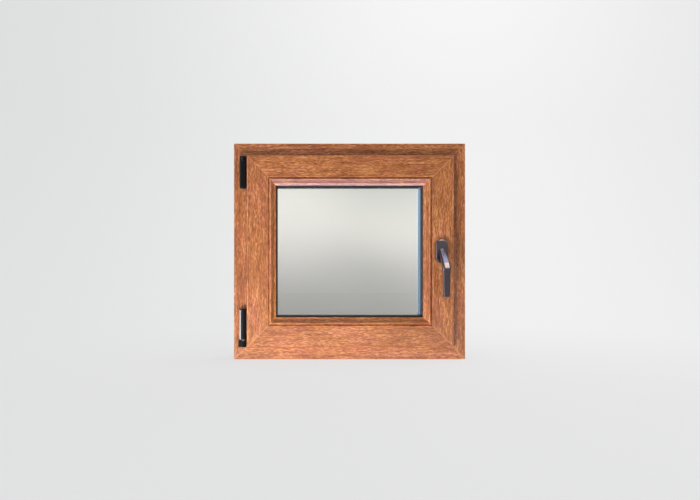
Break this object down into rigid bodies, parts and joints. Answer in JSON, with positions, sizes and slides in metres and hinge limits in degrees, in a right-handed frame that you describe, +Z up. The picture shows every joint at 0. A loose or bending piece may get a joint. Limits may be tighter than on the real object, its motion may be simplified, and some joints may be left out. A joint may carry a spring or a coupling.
{
  "type": "tilt and turn window",
  "caption": "Small inward-opening tilt and turn window with a wood-grain frame and sash, a glazed unit behind beads, black hinges and a lever handle.",
  "frame": {"origin": "middle of the frame's underside, half way through its depth", "axes": "+X along the sill to the handle side, +Y to the outside, +Z up"},
  "size_m": [0.6, 0.1478, 0.56],
  "materials": {
    "oak_foil": "golden oak wood-grain foil on plastic profile, satin",
    "glass": "clear float glass, the outer sheet etched",
    "spacer": "pale spacer bar",
    "seal_rubber": "black seal",
    "zinc_steel": "zinc-plated steel",
    "hinge_black": "satin black hinge cap",
    "handle_anthracite": "anthracite lacquer on die-cast handle, satin"
  },
  "bodies": {
    "frame": {"frame_sill": "oak_foil", "frame_head": "oak_foil", "frame_hinge_jamb": "oak_foil", "frame_handle_jamb": "oak_foil", "frame_seal": "seal_rubber", "stay_bearing": "zinc_steel", "stay_bearing_cap": "hinge_black", "corner_bearing": "hinge_black", "striker_upper": "zinc_steel", "striker_lower": "zinc_steel", "striker_head": "zinc_steel", "striker_sill": "zinc_steel"},
    "hinge_pivot": {"corner_pivot": "zinc_steel"},
    "sash": {"sash_bottom_rail": "oak_foil", "sash_top_rail": "oak_foil", "sash_hinge_stile": "oak_foil", "sash_handle_stile": "oak_foil", "bead_bottom": "oak_foil", "bead_top": "oak_foil", "bead_hinge_side": "oak_foil", "bead_handle_side": "oak_foil", "pane_room": "glass", "pane_middle": "glass", "pane_outside": "glass", "spacer_room": "spacer", "spacer_outside": "spacer", "bead_seal": "seal_rubber", "glazing_seal_outside": "seal_rubber", "overlap_seal": "seal_rubber", "gear_faceplate": "zinc_steel", "top_faceplate": "zinc_steel", "bottom_faceplate": "zinc_steel", "corner_drive_top": "zinc_steel", "corner_drive_bottom": "zinc_steel", "locking_cams": "zinc_steel", "corner_band": "zinc_steel", "corner_band_cap": "hinge_black", "handle_rosette": "handle_anthracite"},
    "stay_arm": {"stay_arm": "zinc_steel", "stay_knuckle_cap": "hinge_black"},
    "handle": {"handle_lever": "handle_anthracite"}
  },
  "joints": [
    {"name": "sash_turn", "type": "hinge", "parent": "frame", "child": "hinge_pivot", "pos_m": [-0.2771, -0.0446, 0.0405], "axis": [0, 0, -1], "range_deg": [0, 90]},
    {"name": "sash_tilt", "type": "hinge", "parent": "hinge_pivot", "child": "sash", "pos_m": [-0.2771, -0.0446, 0.0405], "axis": [-1, 0, 0], "range_deg": [-12, 0]},
    {"name": "stay_swing", "type": "hinge", "parent": "hinge_pivot", "child": "stay_arm", "pos_m": [-0.2771, -0.0446, 0.5125], "axis": [0, 0, 1], "range_deg": [-23.55, 0]},
    {"name": "handle_turn", "type": "hinge", "parent": "sash", "child": "handle", "pos_m": [0.2325, -0.052, 0.28], "axis": [0, -1, 0], "range_deg": [-180, 0]}
  ],
  "couplings": [
    {"joint": "stay_swing", "follows": "sash_tilt", "ratio": 1.962}
  ]
}
